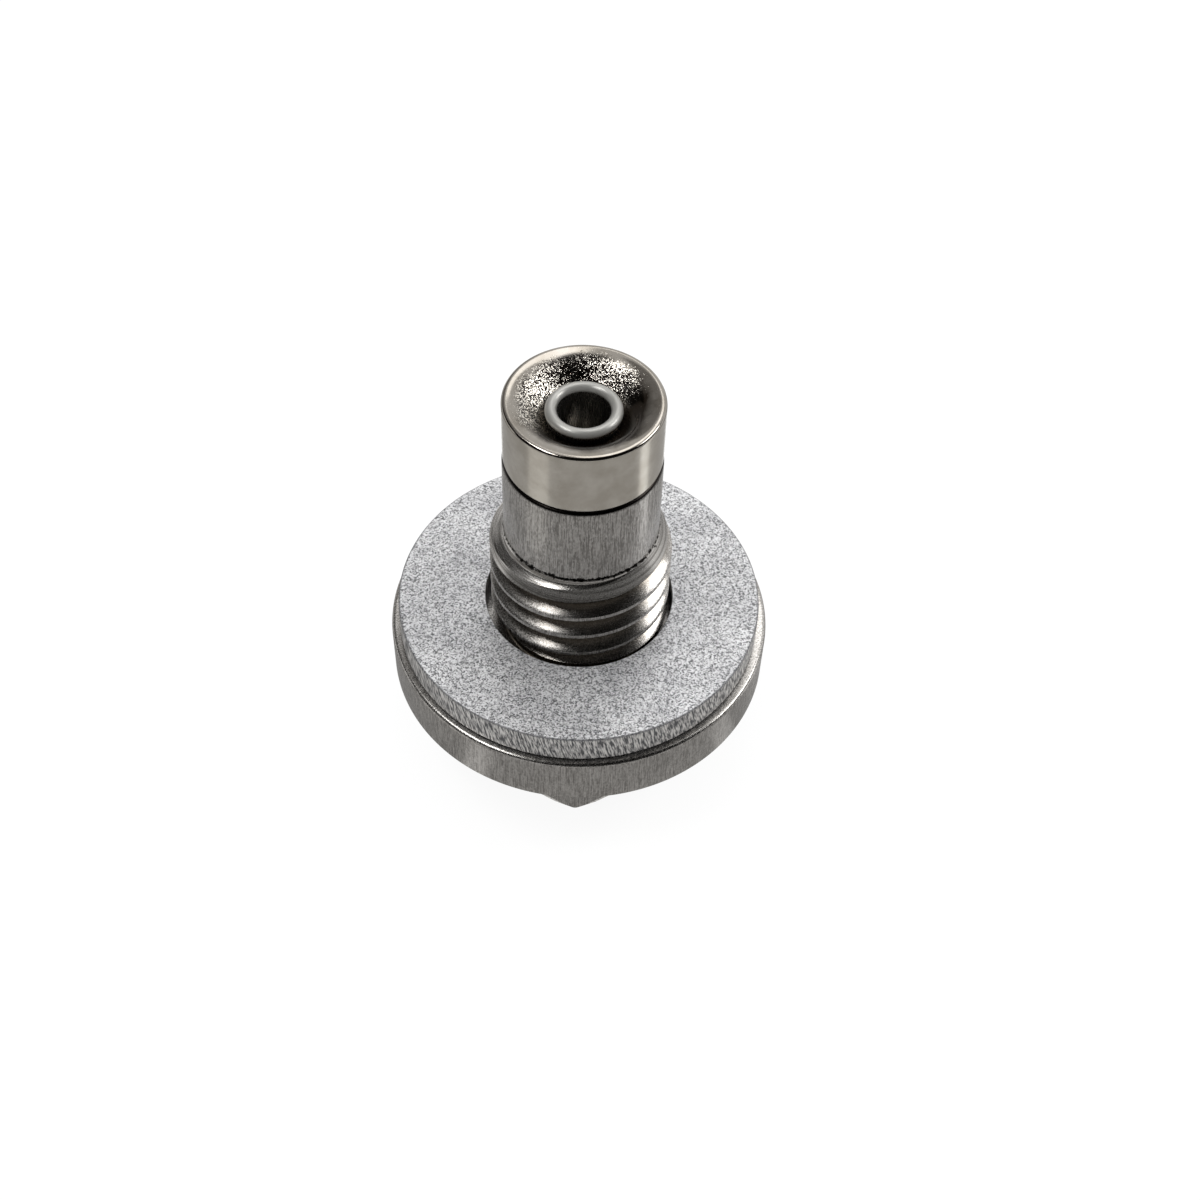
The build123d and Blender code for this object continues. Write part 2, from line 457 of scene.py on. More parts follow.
@dataclass(frozen=True)
class BrightNickelPlate:
    """Nickel plate over a sintered magnet: warm and bright, like a soft mirror.

    Down in the dish it is dark: grainy and sparkling on one side of the tail, where the grit's
    near-black ground is painted shade and its pale specks are painted glints, and painted smooth
    shade on the other, towards the front. The wall is painted lighter than the face, as lit and
    shaded copies of one plate. The clouds in the plate let both edges wander.
    """

    name: str = "bright_nickel_plate"
    plate: str = "#9d9891"
    cloud: str = "#8e887f"
    # The wall's colours are painted lighter than the face's: lit and shaded copies of one plate.
    wall: str = "#d6d1c7"
    lit_wall_cloud: str = "#c4beb3"
    cloud_size: float = 1.6
    wander: float = 1.2
    # Painted shade: dark brown and smooth, in the dish on the front side of the tail.
    film_and_shade: str = "#352e27"
    shade_side: tuple[float, float, float] = (0.5, -0.87, 0.0)
    shade_fade: tuple[float, float] = (-1.0, 1.2)
    shade_edge: float = 4.3
    shade_inside: float = 3.75
    # The grit's near-black ground is painted shade and dark reflection; its pale sparkle specks are
    # painted glints.
    grit: str = "#171411"
    sparkle: str = "#ebe5db"
    sparkle_range: tuple[float, float] = (0.5, 0.72)
    grit_size: float = 0.065
    grit_height: float = 0.025
    grit_spread: float = 1.6
    grit_edge: tuple[float, float] = (1.1, 1.3)
    smooth_radius: float = 4.4
    rough_radius: float = 3.3
    roughness: float = 0.13
    wall_roughness: float = 0.2
    wall_tilt: tuple[float, float] = (0.4, 0.1)
    face_tilt: tuple[float, float] = (0.1, 0.5)
    anisotropy: float = 0.3

    def material(self) -> bpy.types.Material:
        """Builds the material."""
        material, tree = new_material(self.name)
        node = partial(add_node, tree)
        place = node("TexCoord")
        point = in_millimetres(tree, place)
        radius = from_axis(tree, point)
        clouds = grain(tree, point, (self.cloud_size,) * 3, 3.0)
        grit = grain(tree, point, (self.grit_size,) * 3, 1.0)
        specks = flecks(tree, point, (self.grit_size,) * 3)

        wandering = node(
            "Math", {"operation": "MULTIPLY_ADD"}, {0: clouds, 1: self.wander, 2: radius}
        )
        past = self.wander / 2
        in_dish = node(
            "MapRange",
            inputs={0: wandering, 1: self.smooth_radius + past, 2: self.rough_radius + past},
        )
        # Painted shade in the dish, on the front side of the tail.
        to_side = node("VectorMath", {"operation": "DOT_PRODUCT"}, {0: point, 1: self.shade_side})
        film_and_shade_share = node(
            "MapRange", inputs={0: to_side, 1: self.shade_fade[0], 2: self.shade_fade[1]}
        )
        in_shade = node(
            "MapRange",
            inputs={
                0: wandering,
                1: self.shade_edge + past,
                2: self.shade_inside + past,
                4: film_and_shade_share,
            },
        )
        off_shade = node("Math", {"operation": "MULTIPLY_ADD"}, {0: film_and_shade_share, 1: -1.0, 2: 1.0})
        beside_shade = node("Math", {"operation": "MULTIPLY"}, {0: in_dish, 1: off_shade})
        # Grit on the other side of the dish: painted shade with painted glints.
        broken = node(
            "Math", {"operation": "MULTIPLY_ADD"}, {0: grit, 1: self.grit_spread, 2: beside_shade}
        )
        in_grit = node(
            "MapRange", inputs={0: broken, 1: self.grit_edge[0], 2: self.grit_edge[1]}
        )

        cloudy = node("MapRange", inputs={0: clouds, **USUAL_NOISE})
        sparkling = node(
            "MapRange", inputs={0: specks, 1: self.sparkle_range[0], 2: self.sparkle_range[1]}
        )
        plate, wall, gritty = (
            node("Mix", {"data_type": "RGBA"}, {0: share, 6: linear(first), 7: linear(second)})
            for share, first, second in (
                (cloudy, self.cloud, self.plate),
                (cloudy, self.lit_wall_cloud, self.wall),
                (sparkling, self.grit, self.sparkle),
            )
        )
        facing = upright(tree, place)
        # The wall takes the lighter, lit copy of the plate.
        on_lit_wall = node("MapRange", inputs={0: facing, 1: self.wall_tilt[0], 2: self.wall_tilt[1]})
        colour = plate
        for share, coat in ((in_shade, linear(self.film_and_shade)), (in_grit, gritty), (on_lit_wall, wall)):
            colour = node("Mix", {"data_type": "RGBA"}, {0: share, 6: colour, 7: coat})
        rough = node(
            "MapRange",
            inputs={
                0: facing,
                1: self.face_tilt[0],
                2: self.face_tilt[1],
                3: self.wall_roughness,
                4: self.roughness,
            },
        )
        bump = node(
            "Bump", inputs={"Height": grit, "Distance": self.grit_height * MM, "Strength": in_grit}
        )
        surface = node(
            "BsdfPrincipled",
            inputs={
                "Base Color": colour,
                "Metallic": 1.0,
                "Roughness": rough,
                "Normal": bump,
                **drawn_round(tree, self.anisotropy),
            },
        )
        node("OutputMaterial", inputs={"Surface": surface})
        return material


def edge_rings(edges: Iterable[BMEdge], verts: set[BMVert]) -> list[BMEdge]:
    """The edges whose two ends are both among the given vertices."""
    return [edge for edge in edges if edge.verts[0] in verts and edge.verts[1] in verts]


def measure(value: Measure, angle: float) -> float:
    """A size that is either one number or a function of the angle about the axis."""
    return value(angle) if callable(value) else value


def draw_ring(bm: BMesh, ring: Sequence[BMEdge], radius: Measure, height: Measure) -> list[BMEdge]:
    """Extrudes an open ring and sets the new one at a radius and height about the axis.

    Args:
        bm: The mesh being made.
        ring: The edges of the open ring.
        radius: Distance from the axis, one number or a function of the angle in degrees.
        height: Height above the head's end, likewise.

    Returns:
        The edges of the new ring.
    """
    made = bmesh.ops.extrude_edge_only(bm, edges=ring)["geom"]
    verts = {item for item in made if isinstance(item, BMVert)}
    for vert in verts:
        angle = atan2(vert.co.y, vert.co.x)
        out = measure(radius, degrees(angle))
        vert.co = (out * cos(angle), out * sin(angle), measure(height, degrees(angle)))
    return edge_rings((item for item in made if isinstance(item, BMEdge)), verts)


def draw_rings(
    bm: BMesh, ring: Sequence[BMEdge], places: Iterable[tuple[Measure, Measure]]
) -> list[BMEdge]:
    """Draws one ring after another, at pairs of radius and height, and gives the last."""
    for radius, height in places:
        ring = draw_ring(bm, ring, radius, height)
    return ring


def draw_arc(
    bm: BMesh,
    ring: Sequence[BMEdge],
    middle: tuple[float, float],
    reach: float,
    turn: tuple[float, float],
    steps: int,
) -> list[BMEdge]:
    """Draws rings along an arc of the section.

    Args:
        bm: The mesh being made.
        ring: The edges of the open ring.
        middle: Radius and height of the arc's own centre.
        reach: The arc's own radius.
        turn: Its first and last angle in degrees, 0 outwards and 90 upwards.
        steps: The number of its facets.

    Returns:
        The edges of the last ring.
    """
    angles = [radians(turn[0] + (turn[1] - turn[0]) * step / steps) for step in range(steps + 1)]
    return draw_rings(
        bm, ring, [(middle[0] + reach * cos(angle), middle[1] + reach * sin(angle)) for angle in angles]
    )


def round_off(
    bm: BMesh, parts: Sequence[BMEdge | BMVert], width: float, segments: int, affect: str
) -> None:
    """Rounds edges, or the corners of a profile, off over a width.

    Args:
        bm: The mesh being made.
        parts: The edges or the corners' vertices.
        width: Width of the rounding.
        segments: The number of its facets.
        affect: EDGES or VERTICES.
    """
    bmesh.ops.bevel(
        bm,
        geom=list(parts),
        offset=width,
        offset_type="OFFSET",
        segments=segments,
        profile=0.5,
        affect=affect,
        clamp_overlap=affect == "EDGES",
        material=-1,
    )


def lay_profile(bm: BMesh, corners: Sequence[tuple[float, float, float, int]], closed: bool) -> None:
    """Lays a profile in the XZ plane and rounds its corners.

    Args:
        bm: The mesh being made.
        corners: Radius, height, width of the rounding and its segments, for each corner.
        closed: Whether the last corner joins the first.
    """
    verts = [bm.verts.new((radius, 0.0, height)) for radius, height, _, _ in corners]
    pairs = list(zip(verts, verts[1:]))
    if closed:
        pairs.append((verts[-1], verts[0]))
    for pair in pairs:
        bm.edges.new(pair)
    for vert, (_, _, width, segments) in zip(verts, corners):
        if width:
            round_off(bm, [vert], width, segments, "VERTICES")


def spin_once(bm: BMesh, steps: int, rise: float = 0.0) -> None:
    """Spins everything in the mesh once round the axis.

    Args:
        bm: The mesh being made.
        steps: The number of steps in the turn.
        rise: Height gained in the turn. Without it the seam is closed.
    """
    bmesh.ops.spin(
        bm,
        geom=bm.verts[:] + bm.edges[:],
        cent=CENTRE,
        axis=AXIS,
        dvec=(0.0, 0.0, rise / steps),
        angle=2 * pi,
        steps=steps,
        use_merge=not rise,
    )


def finish_mesh(
    bm: BMesh, piece: Piece, finish: bpy.types.Material, sharp: float = 32.0
) -> bpy.types.Object:
    """Turns a mesh in millimetres into a finished object that stands for its node.

    Args:
        bm: The mesh, which is freed.
        piece: The node that it replaces.
        finish: The material.
        sharp: Angle in degrees above which an edge stays crisp.

    Returns:
        The object, riding on the root body.
    """
    bmesh.ops.remove_doubles(bm, verts=bm.verts, dist=0.0004)
    bmesh.ops.recalc_face_normals(bm, faces=bm.faces)
    bmesh.ops.scale(bm, vec=(MM, MM, MM), verts=bm.verts)
    mesh = bpy.data.meshes.new(f"{piece.value}_dressed")
    for face in bm.faces:
        face.smooth = True
    bm.to_mesh(mesh)
    bm.free()
    mesh.set_sharp_from_angle(angle=radians(sharp))
    obj = bpy.data.objects.new(f"{piece.value}_dressed", mesh)
    bpy.context.scene.collection.objects.link(obj)
    weighting = obj.modifiers.new("even_shading", "WEIGHTED_NORMAL")
    weighting.keep_sharp = True
    bpy.context.view_layer.update()
    shaded = obj.evaluated_get(bpy.context.evaluated_depsgraph_get())
    obj.data = bpy.data.meshes.new_from_object(shaded)
    obj.modifiers.clear()
    obj.data.materials.clear()
    obj.data.materials.append(finish)
    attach(obj, "root")
    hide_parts(piece.value)
    log.info("%s: %d faces", obj.name, len(obj.data.polygons))
    return obj


@dataclass(frozen=True)
class Nick:
    """A small dent in a thread crest: its angle, height, reach and depth."""

    angle: float
    height: float
    reach: float
    depth: float


@dataclass
class PlugBody:
    """Hex head, flange, threaded shank, plain nose and hollow rivet tail, turned in one."""

    steps: int = 240
    across_flats: float = 17.0
    hex_height: float = 6.2
    end_radius: float = 9.1
    end_chamfer: float = 30.0
    hex_corner: float = 0.17
    flange_radius: float = 12.7
    flange_top: float = 9.8
    flange_edge: float = 0.27
    flange_burr: float = 0.04
    relief_radius: float = 4.9
    relief_top: float = 10.8
    relief_corner: float = 0.3
    relief_exit: float = 30.0
    pitch: float = 1.75
    crest_radius: float = 5.93
    crest_round: float = 0.022
    root_radius: float = 5.036
    root_round: float = 0.1
    pitch_radius: float = 5.415
    flank: float = 30.0
    crest_height_at_front: float = 14.43
    blank_gap: float = 0.01
    thread_top: float = 17.5
    turns: int = 7
    profile_step: float = 0.2
    slack: float = 0.001
    lower_cut: float = 10.3
    upper_cut: float = 18.87
    nose_radius: float = 5.0
    nose_base: float = 18.9
    nose_top: float = 25.0
    nose_edge: float = 0.32
    undercut: float = 0.13
    undercut_rise: tuple[float, float, float] = (0.02, 0.11, 0.14)
    tail_radius: float = 2.05
    lip_radius: float = 2.37
    mouth_radius: float = 1.64
    lip_top: float = 29.08
    taper_depth: float = 0.815
    seat_height: float = 28.22
    seat_drop: float = 0.12
    seat_inset: float = 0.09
    hole_radius: float = 1.5
    hole_bottom: float = 25.0
    drill_angle: float = 118.0
    nicks: tuple[Nick, ...] = (
        Nick(-87.0, 12.68, 0.22, 0.07),
        Nick(-118.0, 14.2, 0.18, 0.04),
        Nick(-52.0, 16.35, 0.2, 0.035),
        Nick(40.0, 15.1, 0.25, 0.05),
        Nick(148.0, 13.6, 0.2, 0.05),
    )

    def hex_radius(self, angle: float) -> float:
        """Distance from the axis to the hex's outline, with a corner to the front."""
        from_flat = (angle + 30.0) % 60.0 - 30.0
        return self.across_flats / 2 / cos(radians(from_flat))

    def chamfer_height(self, angle: float) -> float:
        """Height at which the end's chamfer meets the hex's outline, nought beside a flat."""
        past_end = max(self.hex_radius(angle) - self.end_radius, 0.0)
        return past_end * tan(radians(self.end_chamfer))

    def end_outline(self, angle: float) -> float:
        """Distance from the axis to the outline of the end face."""
        return min(self.hex_radius(angle), self.end_radius)

    def blank_radius(self, height: float) -> float:
        """Outline of the blank that the thread is cut in."""
        if height < self.relief_top:
            return self.relief_radius
        leaving = self.relief_radius + (height - self.relief_top) / tan(radians(self.relief_exit))
        cone = (self.crest_radius - self.nose_radius) / (self.nose_base - self.thread_top)
        entering = self.nose_radius + (self.nose_base - height) * cone
        return min(leaving, entering, self.crest_radius + self.blank_gap)

    def proud(self, vert: BMVert) -> float:
        """How far a vertex stands out of the blank."""
        return hypot(vert.co.x, vert.co.y) - self.blank_radius(vert.co.z)

    def lay_tooth(self, bm: BMesh) -> None:
        """Lays the thread's profile over one pitch, at the front and below the lower cut."""
        start = self.crest_height_at_front - self.pitch / 2
        while start + self.pitch > self.lower_cut:
            start -= self.pitch
        end = start + self.pitch
        flank = tan(radians(self.flank))
        root = self.pitch / 4 - (self.pitch_radius - self.root_radius) * flank
        crest = self.pitch / 4 + (self.crest_radius - self.pitch_radius) * flank
        halfway = (self.root_radius + self.crest_radius) / 2
        middle = (root + crest) / 2
        lay_profile(
            bm,
            (
                (self.root_radius, start, 0, 0),
                (self.root_radius, start + root, self.root_round, 3),
                (halfway, start + middle, 0, 0),
                (self.crest_radius, start + crest, self.crest_round, 2),
                (self.crest_radius, end - crest, self.crest_round, 2),
                (halfway, end - middle, 0, 0),
                (self.root_radius, end - root, self.root_round, 3),
                (self.root_radius, end, 0, 0),
            ),
            closed=False,
        )
        long_edges = [edge for edge in bm.edges if edge.calc_length() > self.profile_step]
        bmesh.ops.subdivide_edges(bm, edges=long_edges, cuts=2)
        bmesh.ops.rotate(bm, verts=bm.verts, cent=CENTRE, matrix=Matrix.Rotation(-pi / 2, 3, "Z"))

    def screw_up(self, bm: BMesh) -> None:
        """Screws the profile up the axis for one turn and copies the turn upwards."""
        spin_once(bm, self.steps, rise=self.pitch)
        one_turn = bm.verts[:] + bm.edges[:] + bm.faces[:]
        for turn in range(1, self.turns):
            copied = bmesh.ops.duplicate(bm, geom=one_turn)["geom"]
            verts = [item for item in copied if isinstance(item, BMVert)]
            bmesh.ops.translate(bm, verts=verts, vec=(0.0, 0.0, turn * self.pitch))
        bmesh.ops.remove_doubles(bm, verts=bm.verts, dist=0.002)

    def trim(self, bm: BMesh) -> None:
        """Cuts the thread off at the blank's outline, with an edge along the cut."""
        crossings = []
        for edge in bm.edges[:]:
            first, second = edge.verts
            over, under = self.proud(first), self.proud(second)
            if over * under < 0:
                _, vert = bmesh.utils.edge_split(edge, first, over / (over - under))
                crossings.append(vert)
        bmesh.ops.connect_verts(bm, verts=crossings)
        for vert in bm.verts:
            over = self.proud(vert)
            if over > 0:
                out = hypot(vert.co.x, vert.co.y)
                vert.co.xy *= (out - over) / out

    def cut_thread(self, bm: BMesh) -> tuple[list[BMEdge], list[BMEdge]]:
        """Makes the threaded shank with its nicks, open at both ends.

        Args:
            bm: The mesh being made.

        Returns:
            The open rings below and above the thread.
        """
        self.lay_tooth(bm)
        self.screw_up(bm)
        self.trim(bm)
        for nick in self.nicks:
            self.dent(bm, nick)
        for height, side in ((self.lower_cut, "clear_inner"), (self.upper_cut, "clear_outer")):
            bmesh.ops.bisect_plane(
                bm,
                geom=bm.verts[:] + bm.edges[:] + bm.faces[:],
                plane_co=(0.0, 0.0, height),
                plane_no=AXIS,
                dist=0.0001,
                **{side: True},
            )
        bmesh.ops.remove_doubles(bm, verts=bm.verts, dist=0.0005)
        return self.even_ring(bm, self.lower_cut), self.even_ring(bm, self.upper_cut)

    def even_ring(self, bm: BMesh, height: float) -> list[BMEdge]:
        """Gives the cut ring at a height one vertex a step, by moving the odd ones there.

        Args:
            bm: The mesh being made.
            height: Height of the plane cut.

        Returns:
            The ring's edges.
        """
        step = 360.0 / self.steps
        places: dict[int, list[tuple[float, BMVert]]] = {}
        for vert in bm.verts:
            if abs(vert.co.z - height) < self.slack:
                turn = degrees(atan2(vert.co.y, vert.co.x)) / step
                place = round(turn)
                places.setdefault(place % self.steps, []).append((abs(turn - place), vert))
        merged = {}
        kept = set()
        for found in places.values():
            found.sort(key=lambda item: item[0])
            kept.add(found[0][1])
            merged.update({vert: found[0][1] for _, vert in found[1:]})
        bmesh.ops.weld_verts(bm, targetmap=merged)
        return edge_rings(bm.edges, kept)

    def dent(self, bm: BMesh, nick: Nick) -> None:
        """Presses a nick into the crest nearest to it."""
        angle = radians(nick.angle)
        middle = Vector(
            (self.crest_radius * cos(angle), self.crest_radius * sin(angle), nick.height)
        )
        for vert in bm.verts:
            away = (vert.co - middle).length
            if away < nick.reach:
                out = hypot(vert.co.x, vert.co.y)
                vert.co.xy *= 1 - nick.depth * (1 - away / nick.reach) / out

    def draw_head(self, bm: BMesh, ring: list[BMEdge]) -> None:
        """Draws the relief, the flange and the hex head down from the thread."""
        foot = (self.relief_radius + self.relief_corner, self.flange_top + self.relief_corner)
        ring = draw_arc(bm, ring, foot, self.relief_corner, (180.0, 270.0), 5)
        brow = (self.flange_radius - self.flange_edge, self.flange_top - self.flange_edge)
        ring = draw_arc(bm, ring, brow, self.flange_edge, (90.0, 0.0), 6)
        base = (self.flange_radius - self.flange_burr, self.hex_height + self.flange_burr)
        ring = draw_arc(bm, ring, base, self.flange_burr, (0.0, -90.0), 2)
        neck = draw_ring(bm, ring, self.hex_radius, self.hex_height)
        brim = draw_ring(bm, neck, self.hex_radius, self.chamfer_height)
        end = draw_ring(bm, brim, self.end_outline, 0.0)
        bmesh.ops.contextual_create(bm, geom=end)
        corner = self.across_flats / 2 / cos(radians(30.0)) - self.slack
        corners = [
            edge
            for vert in dict.fromkeys(v for e in neck for v in e.verts)
            if hypot(vert.co.x, vert.co.y) > corner
            for edge in vert.link_edges
            if edge.other_vert(vert).co.z < self.hex_height / 2
        ]
        round_off(bm, corners, self.hex_corner, 3, "EDGES")

    def draw_nose(self, bm: BMesh, ring: list[BMEdge]) -> None:
        """Draws the plain nose, the rivet tail and its blind hole up from the thread."""
        groove = self.nose_radius - self.undercut
        foot, top, end = (self.nose_base + rise for rise in self.undercut_rise)
        wall = self.nose_radius
        ring = draw_rings(bm, ring, ((wall, self.nose_base), (groove, foot), (groove, top), (wall, end)))
        brow = (self.nose_radius - self.nose_edge, self.nose_top - self.nose_edge)
        ring = draw_arc(bm, ring, brow, self.nose_edge, (0.0, 90.0), 5)
        seat = (
            (self.tail_radius, self.nose_top),
            (self.tail_radius, self.seat_height - self.seat_drop),
            (self.lip_radius - self.seat_inset, self.seat_height),
        )
        ring = draw_rings(bm, ring, seat)
        half = (self.lip_radius - self.mouth_radius) / 2
        dome = (self.mouth_radius + half, self.lip_top - half)
        ring = draw_arc(bm, ring, dome, half, (0.0, 180.0), 12)
        depths = (self.lip_top - self.taper_depth, self.hole_bottom)
        ring = draw_rings(bm, ring, [(self.hole_radius, depth) for depth in depths])
        point = self.hole_bottom - self.hole_radius / tan(radians(self.drill_angle / 2))
        tip = draw_ring(bm, ring, 0.01, point)
        last = list(dict.fromkeys(v for e in tip for v in e.verts))
        bmesh.ops.pointmerge(bm, verts=last, merge_co=(0.0, 0.0, point))

    def build(self, finish: TurnedStainlessSteel) -> bpy.types.Object:
        """Builds the whole body as one closed mesh in its finish."""
        bm = bmesh.new()
        lower, upper = self.cut_thread(bm)
        self.draw_head(bm, lower)
        self.draw_nose(bm, upper)
        return finish_mesh(bm, Piece.BODY, finish.material(), sharp=24.0)


@dataclass
class CrushWasher:
    """Flat soft ring, blanked from sheet, lying a little off centre on the flange."""

    steps: int = 288
    radius: float = 12.05
    bore: float = 6.25
    bottom: float = 9.8
    thickness: float = 2.3
    edge: float = 0.17
    die_roll: float = 0.4
    bore_edge: float = 0.04
    shift: tuple[float, float] = (-0.05, -0.25)

    def build(self, finish: TumbledAluminium) -> bpy.types.Object:
        """Builds the washer in its finish."""
        top = self.bottom + self.thickness
        bm = bmesh.new()
        lay_profile(
            bm,
            (
                (self.bore, self.bottom, self.bore_edge, 2),
                (self.radius, self.bottom, self.die_roll, 6),
                (self.radius, top, self.edge, 5),
                (self.bore, top, self.bore_edge, 2),
            ),
            closed=True,
        )
        spin_once(bm, self.steps)
        bmesh.ops.translate(bm, verts=bm.verts, vec=(*self.shift, 0.0))
        return finish_mesh(bm, Piece.WASHER, finish.material(), sharp=50.0)


@dataclass
class RingMagnet:
    """Plated ring magnet whose face is dished towards the rivet tail."""

    steps: int = 240
    radius: float = 4.95
    bore: float = 2.1
    bottom: float = 25.0
    top: float = 29.6
    edge: float = 0.3
    rim: float = 0.23
    dish_radius: float = 4.62
    rim_slope: float = 8.0
    cone_slope: float = 38.0
    curve_width: float = 1.25

    def build(self, finish: BrightNickelPlate) -> bpy.types.Object:
        """Builds the magnet in its finish."""
        rim, cone = radians(self.rim_slope), radians(self.cone_slope)
        curve = self.curve_width / (sin(cone) - sin(rim))
        reach = curve * tan((cone - rim) / 2)
        turn_radius = self.dish_radius - reach * cos(rim)
        turn_height = self.top - reach * sin(rim)
        cone_bottom = turn_height - (turn_radius - self.bore) * tan(cone)
        bm = bmesh.new()
        lay_profile(
            bm,
            (
                (self.bore, self.bottom, 0, 0),
                (self.radius, self.bottom, self.edge, 4),
                (self.radius, self.top, self.rim, 5),
                (self.dish_radius, self.top, 0, 0),
                (turn_radius, turn_height, reach - 0.002, 12),
                (self.bore, cone_bottom, 0, 0),
            ),
            closed=True,
        )
        spin_once(bm, self.steps)
        return finish_mesh(bm, Piece.MAGNET, finish.material(), sharp=50.0)


@dataclass(frozen=True)
class Place:
    """A direction from the plug's middle, and a distance in metres.

    The lift runs from the front's horizon, 0, over the top, 90, to the back's horizon, 180.
    The side runs from the left, -90, to the right, 90.
    """

    lift: float
    side: float
    distance: float

    def offset(self) -> Vector:
        """The place as seen from the plug's middle, in metres."""
        lift, side = radians(self.lift), radians(self.side)
        return self.distance * Vector((sin(side), -cos(side) * cos(lift), cos(side) * sin(lift)))

    def matrix(self, middle: Vector) -> Matrix:
        """A transform at the place, X to the right and Y along the lift, that looks back.

        Args:
            middle: The point looked at, in metres.

        Returns:
            The placing matrix.
        """
        lift, side = radians(self.lift), radians(self.side)
        across = Vector((cos(side), sin(side) * cos(lift), -sin(side) * sin(lift)))
        along = Vector((0.0, sin(lift), cos(lift)))
        away = self.offset().normalized()
        turned = Matrix((across, along, away)).transposed().to_4x4()
        return Matrix.Translation(middle + self.offset()) @ turned


@dataclass(frozen=True)
class SoftBox:
    """A white soft lamp: its place, its two sides in metres and its radiance (1 is white paper)."""

    name: str
    place: Place
    width: float
    height: float
    radiance: float


@dataclass(frozen=True)
class Card:
    """A curved studio card round the plug, which only reflections show.

    It spans a range of lifts and of sides, as a Place has them.
    """

    name: str
    lifts: tuple[float, float]
    sides: tuple[float, float]
    distance: float
    colour: str

    def point(self, across: float, up: float) -> Vector:
        """A point of the card from the plug's middle.

        Args:
            across: Share of the way from its left to its right side.
            up: Share of the way from its first to its last lift.

        Returns:
            The point, in metres.
        """
        side = self.sides[0] + (self.sides[1] - self.sides[0]) * across
        lift = self.lifts[0] + (self.lifts[1] - self.lifts[0]) * up
        return Place(lift, side, self.distance).offset()


@dataclass(frozen=True)
class Fan:
    """A fan of card on the table round the plug, which only reflections show. It paints the table
    greyer than it shows; under the head it is a painted shadow, and the pale gap fans are painted
    light.

    Its azimuths run from the left, -90, over the front, 0, to the right, 90.
    """

    name: str
    azimuths: tuple[float, float]
    radii: tuple[float, float]
    colour: str
    height: float = 0.0002

    def point(self, across: float, out: float) -> Vector:
        """A point of the fan.

        Args:
            across: Share of the way from its first to its last azimuth.
            out: Share of the way from its inner to its outer radius.

        Returns:
            The point, in metres.
        """
        angle = radians(self.azimuths[0] + (self.azimuths[1] - self.azimuths[0]) * across)
        radius = self.radii[0] + (self.radii[1] - self.radii[0]) * out
        return Vector((radius * sin(angle), -radius * cos(angle), self.height))


